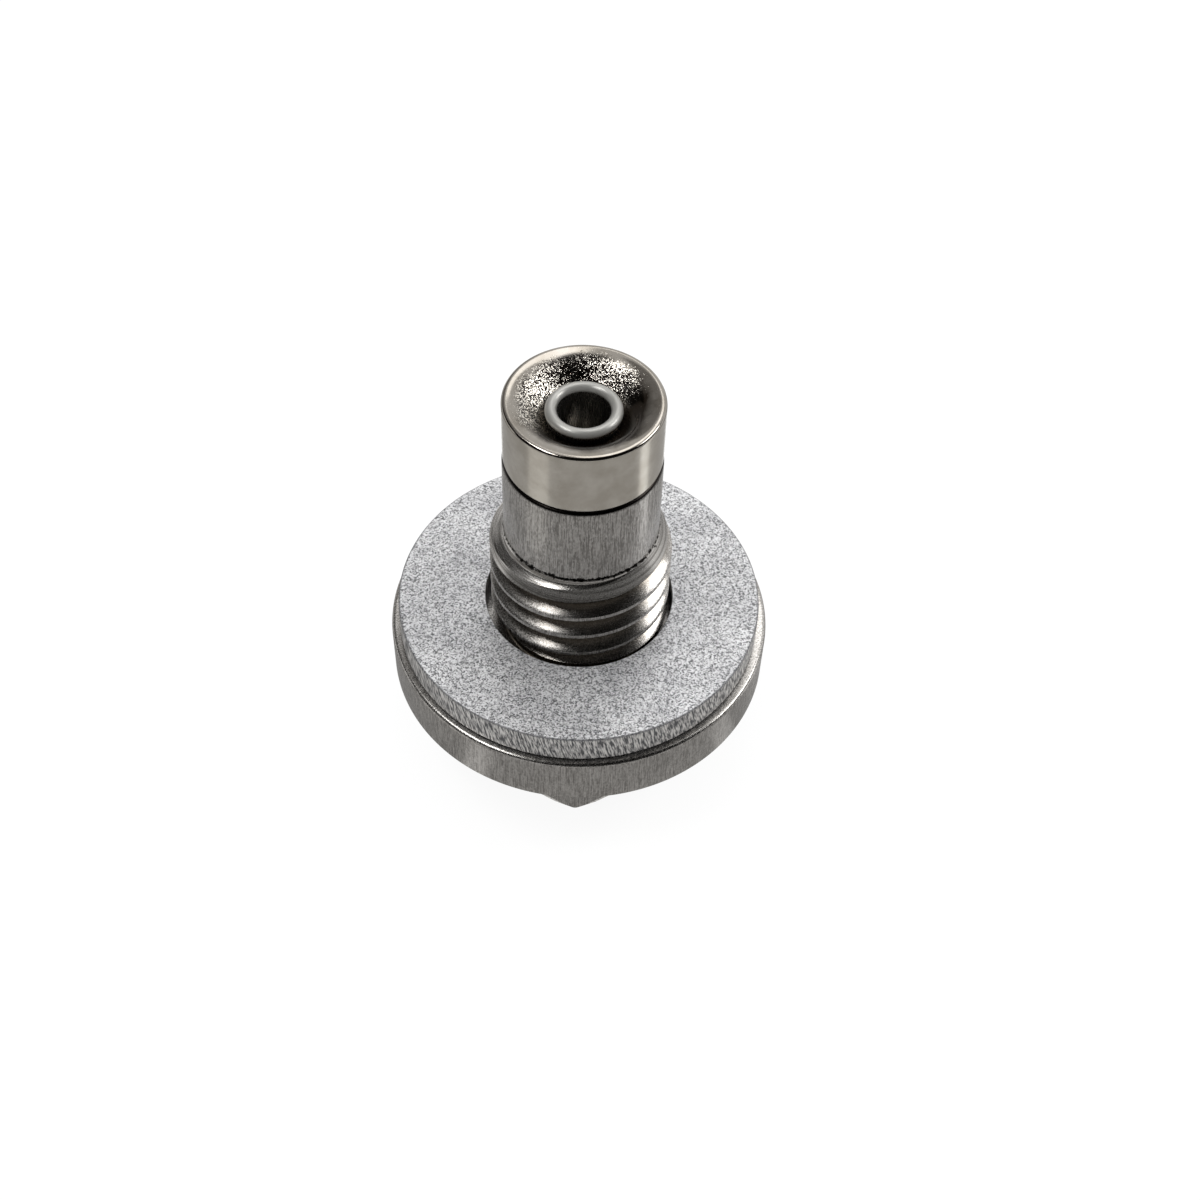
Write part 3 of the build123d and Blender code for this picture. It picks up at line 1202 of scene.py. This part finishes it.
@dataclass
class Studio:
    """White table and surround, soft lamps, cards for the metal to reflect, and the camera."""

    surround: float = 1.15
    table_glow: float = 0.9
    middle: Vector = field(default_factory=lambda: Vector((0.0, 0.0, 0.018)))
    soft_boxes: tuple[SoftBox, ...] = (
        SoftBox("left_lamp", Place(88.0, -24.0, 0.4), 0.08, 0.2, 10.0),
        SoftBox("right_lamp", Place(106.0, 48.0, 0.4), 0.09, 0.17, 10.0),
        SoftBox("back_lamp", Place(119.0, 7.5, 0.4), 0.12, 0.24, 2.2),
    )
    cards: tuple[Card, ...] = (
        Card("front_low_card", (4.0, 27.0), (-85.0, 85.0), 0.46, "#424140"),
        Card("front_card", (27.0, 99.0), (-85.0, 85.0), 0.46, "#0e0d0c"),
        Card("left_card", (98.0, 150.0), (-70.0, -38.0), 0.46, "#2b2a29"),
        Card("right_card", (98.0, 140.0), (48.0, 85.0), 0.46, "#4a4947"),
        Card("left_back_card", (112.0, 172.0), (-60.0, -10.0), 0.48, "#9a9998"),
    )
    # The fans paint the table greyer than it shows: a painted shadow under the head, and pale fans of
    # painted light in the gaps.
    fans: tuple[Fan, ...] = (
        Fan("under_head_shadow_fan", (-180.0, 180.0), (0.008, NEAR_RING[0]), "#a2a1a0"),
        Fan("near_front_fan", (-35.0, 60.0), NEAR_RING, "#aaa9a8"),
        Fan("near_left_light_fan", (-46.0, -35.0), NEAR_RING, "#d8d7d6"),
        Fan("near_left_fan", (-112.0, -46.0), NEAR_RING, "#9c9b9a"),
        Fan("near_right_light_fan", (60.0, 71.0), NEAR_RING, "#cccbca"),
        Fan("near_right_fan", (71.0, 98.0), NEAR_RING, "#a09f9e"),
        Fan("near_side_fan", (98.0, 135.0), NEAR_RING, "#acabaa"),
        Fan("far_front_fan", (-45.0, 82.0), FAR_RING, "#aaa9a8"),
        Fan("far_light_fan", (-76.0, -45.0), FAR_RING, "#cecdcb"),
        Fan("far_left_fan", (-150.0, -76.0), FAR_RING, "#a7a6a5"),
        Fan("far_right_fan", (98.0, 150.0), FAR_RING, "#adacab"),
    )
    camera_at: tuple[float, float, float] = (0.0, -0.07327, 0.09986)
    camera_right: tuple[float, float, float] = (0.9997, 0.0102, 0.0239)
    camera_up: tuple[float, float, float] = (-0.0231, 0.7714, 0.6359)
    lens: float = 51.15

    def seen_white(self, tree: bpy.types.NodeTree) -> bpy.types.Node:
        """One for rays from the camera, a reflection or clear glass, nought for the rest."""
        rays = add_node(tree, "LightPath").outputs
        shown = rays["Is Camera Ray"]
        for kind in ("Is Glossy Ray", "Is Transmission Ray"):
            shown = add_node(tree, "Math", {"operation": "MAXIMUM"}, {0: shown, 1: rays[kind]})
        return shown

    def build_world(self) -> None:
        """A white surround that lights the plug evenly."""
        world = bpy.data.worlds.new("white_surround")
        world.use_nodes = True
        tree = world.node_tree
        tree.nodes.clear()
        strength = add_node(
            tree, "MapRange", inputs={0: self.seen_white(tree), 3: self.surround, 4: 1.0}
        )
        background = add_node(
            tree, "Background", inputs={"Color": linear("#ffffff"), "Strength": strength}
        )
        add_node(tree, "OutputWorld", inputs={"Surface": background})
        bpy.context.scene.world = world

    def build_floor(self) -> None:
        """A white table top that keeps a faint shadow."""
        material, tree = new_material("white_table")
        paper = add_node(tree, "BsdfDiffuse", inputs={"Color": linear("#f8f8f8")})
        glow = add_node(tree, "Emission", inputs={"Color": linear("#ffffff"), "Strength": 1.0})
        share = add_node(
            tree, "Math", {"operation": "MULTIPLY"}, {0: self.seen_white(tree), 1: self.table_glow}
        )
        surface = add_node(tree, "MixShader", inputs={0: share, 1: paper, 2: glow})
        add_node(tree, "OutputMaterial", inputs={"Surface": surface})
        bm = bmesh.new()
        bmesh.ops.create_grid(bm, x_segments=1, y_segments=1, size=2.0)
        self.stage_mesh(bm, "table_top", material)

    def stage_mesh(self, bm: BMesh, name: str, material: bpy.types.Material) -> bpy.types.Object:
        """Makes a stage object of a mesh, which is freed."""
        mesh = bpy.data.meshes.new(name)
        bm.to_mesh(mesh)
        bm.free()
        mesh.materials.append(material)
        obj = bpy.data.objects.new(name, mesh)
        bpy.context.scene.collection.objects.link(obj)
        return obj

    def build_card(self, card: Card | Fan, start: Vector) -> None:
        """Makes a card that the metal reflects and the camera does not see.

        Args:
            card: The card.
            start: The point that it is measured from, in metres.
        """
        material, tree = new_material(card.name)
        glow = add_node(tree, "Emission", inputs={"Color": linear(card.colour), "Strength": 1.0})
        add_node(tree, "OutputMaterial", inputs={"Surface": glow})
        bm = bmesh.new()
        bmesh.ops.create_grid(bm, x_segments=32, y_segments=24, size=0.5)
        for vert in bm.verts:
            vert.co = start + card.point(vert.co.x + 0.5, vert.co.y + 0.5)
        obj = self.stage_mesh(bm, card.name, material)
        obj.visible_camera = False
        obj.visible_diffuse = False
        obj.visible_shadow = False

    def build_lamps(self) -> None:
        """The soft boxes, each turned to the plug's middle."""
        for box in self.soft_boxes:
            lamp = bpy.data.lights.new(box.name, "AREA")
            lamp.shape = "RECTANGLE"
            lamp.size = box.width
            lamp.size_y = box.height
            lamp.energy = box.radiance * pi * box.width * box.height
            obj = bpy.data.objects.new(box.name, lamp)
            obj.matrix_world = box.place.matrix(self.middle)
            obj.visible_camera = False
            bpy.context.scene.collection.objects.link(obj)

    def build_camera(self) -> None:
        """The camera, at the photograph's viewing angle."""
        lens = bpy.data.cameras.new("camera")
        lens.lens = self.lens
        lens.sensor_width = 36.0
        lens.clip_start = 0.001
        right = Vector(self.camera_right).normalized()
        up = Vector(self.camera_up)
        up = (up - right * up.dot(right)).normalized()
        turned = Matrix((right, up, right.cross(up))).transposed().to_4x4()
        obj = bpy.data.objects.new("camera", lens)
        obj.matrix_world = Matrix.Translation(self.camera_at) @ turned
        bpy.context.scene.collection.objects.link(obj)
        bpy.context.scene.camera = obj

    def build(self) -> None:
        """Builds the whole studio."""
        bpy.context.scene.view_settings.view_transform = "Standard"
        self.build_camera()
        self.build_world()
        self.build_floor()
        for card in self.cards:
            self.build_card(card, self.middle)
        for fan in self.fans:
            self.build_card(fan, CENTRE)
        self.build_lamps()


def main() -> None:
    """Builds the studio and the plug's three pieces."""
    logging.basicConfig(level=logging.INFO, format="%(name)s: %(message)s")
    Studio().build()
    PlugBody().build(TurnedStainlessSteel())
    CrushWasher().build(TumbledAluminium())
    RingMagnet().build(BrightNickelPlate())


if __name__ == "__main__":
    main()
